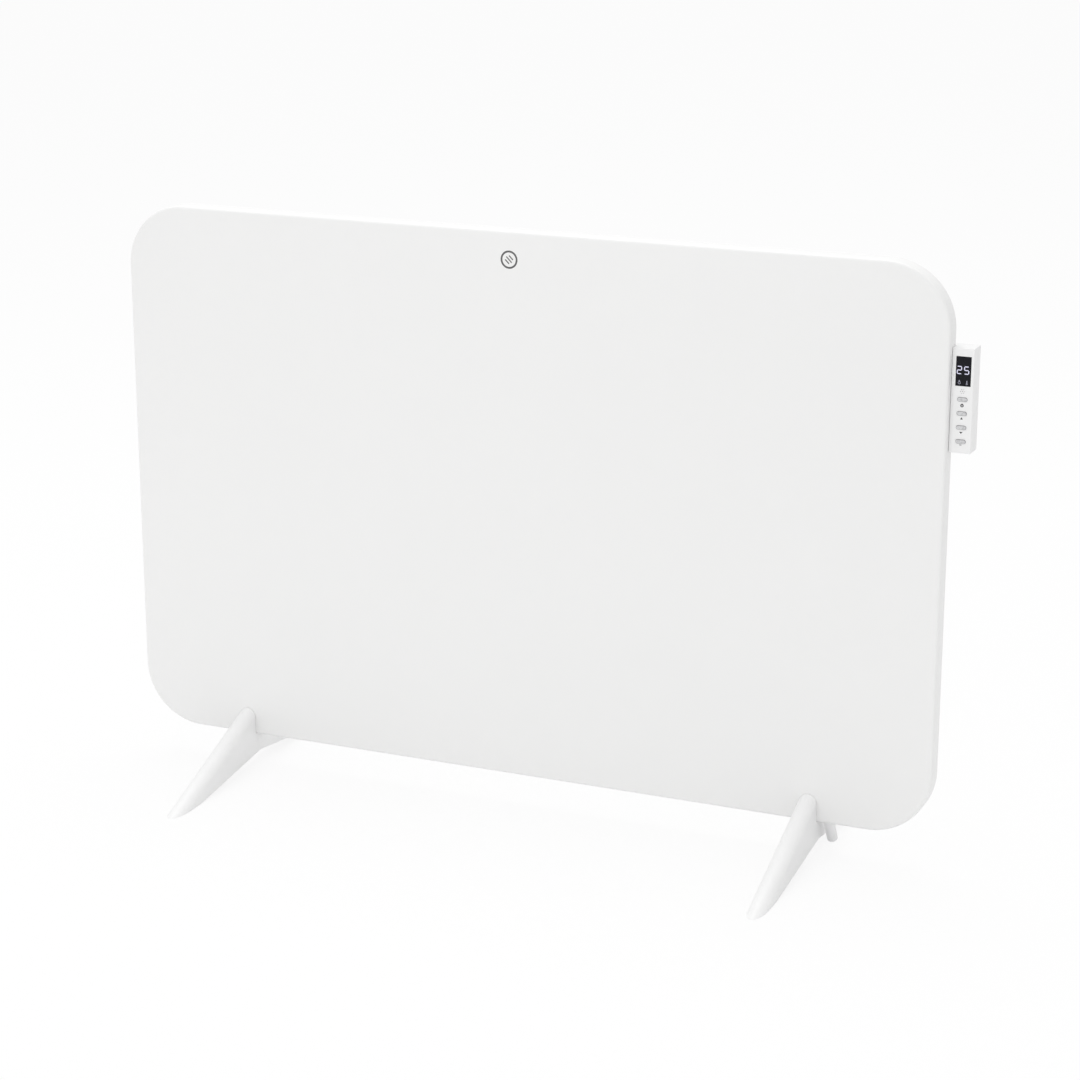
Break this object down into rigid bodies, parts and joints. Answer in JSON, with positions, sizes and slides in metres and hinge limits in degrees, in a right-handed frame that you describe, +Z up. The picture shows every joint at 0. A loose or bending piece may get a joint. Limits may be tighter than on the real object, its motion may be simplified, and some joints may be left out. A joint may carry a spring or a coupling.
{
  "type": "infrared heater",
  "caption": "Free-standing flat infrared heater: slim white steel panel on plug-on feet, with a display and buttons in a small box at its side.",
  "frame": {"origin": "middle of the heater's footprint on the floor: centre of the bounding box in X and Y, at the soles in Z", "axes": "+X to the right along the panel's width, as seen from the room in front; +Y backwards through the panel's thickness; +Z up"},
  "size_m": [0.9218, 0.364, 0.618],
  "materials": {
    "panel_white": "satin white powder coat",
    "cover_white": "satin white powder coat",
    "board_black": "black laminate",
    "copper": "bare copper strip",
    "foil": "bright foil",
    "fibre": "rigid fibre board",
    "white_ceramic": "glazed steatite",
    "zinc_screws": "zinc plated",
    "foot_plastic": "satin white moulding",
    "gland_plastic": "satin white moulding",
    "box_plastic": "satin white moulding",
    "button_plastic": "pale grey key cap",
    "smoked_window": "gloss smoked window",
    "display_block": "black display block",
    "circuit_green": "solder-resist green",
    "black_plastic": "black moulding",
    "capacitor_yellow": "yellow resin box"
  },
  "bodies": {
    "heater": {"front_panel": "panel_white", "heating_board": "board_black", "bus_bars": "copper", "reflector_foil": "foil", "insulation_board": "fibre", "upper_thermal_cutout": "white_ceramic", "lower_thermal_cutout": "white_ceramic", "rear_cover": "cover_white", "wall_inserts": "zinc_screws", "terminal_block": "white_ceramic", "weld_nuts": "zinc_screws", "left_foot": "foot_plastic", "right_foot": "foot_plastic", "foot_screws": "zinc_screws", "cord_gland": "gland_plastic", "control_housing": "box_plastic", "control_lid": "box_plastic", "display_window": "smoked_window", "display_module": "display_block", "control_circuit": "circuit_green", "push_switches": "black_plastic", "sounder": "black_plastic", "power_circuit": "circuit_green", "relay": "black_plastic", "capacitor": "capacitor_yellow", "tilt_switch": "black_plastic"},
    "power_key": {"power_button": "button_plastic"},
    "up_key": {"up_button": "button_plastic"},
    "down_key": {"down_button": "button_plastic"},
    "mode_key": {"mode_button": "button_plastic"}
  },
  "joints": [
    {"name": "power_press", "type": "slide", "parent": "heater", "child": "power_key", "axis": [0, 1, 0], "range_m": [0, 0.0006], "stiffness_N_per_m": 500, "springref_m": -0.0006},
    {"name": "up_press", "type": "slide", "parent": "heater", "child": "up_key", "axis": [0, 1, 0], "range_m": [0, 0.0006], "stiffness_N_per_m": 500, "springref_m": -0.0006},
    {"name": "down_press", "type": "slide", "parent": "heater", "child": "down_key", "axis": [0, 1, 0], "range_m": [0, 0.0006], "stiffness_N_per_m": 500, "springref_m": -0.0006},
    {"name": "mode_press", "type": "slide", "parent": "heater", "child": "mode_key", "axis": [0, 1, 0], "range_m": [0, 0.0006], "stiffness_N_per_m": 500, "springref_m": -0.0006}
  ]
}
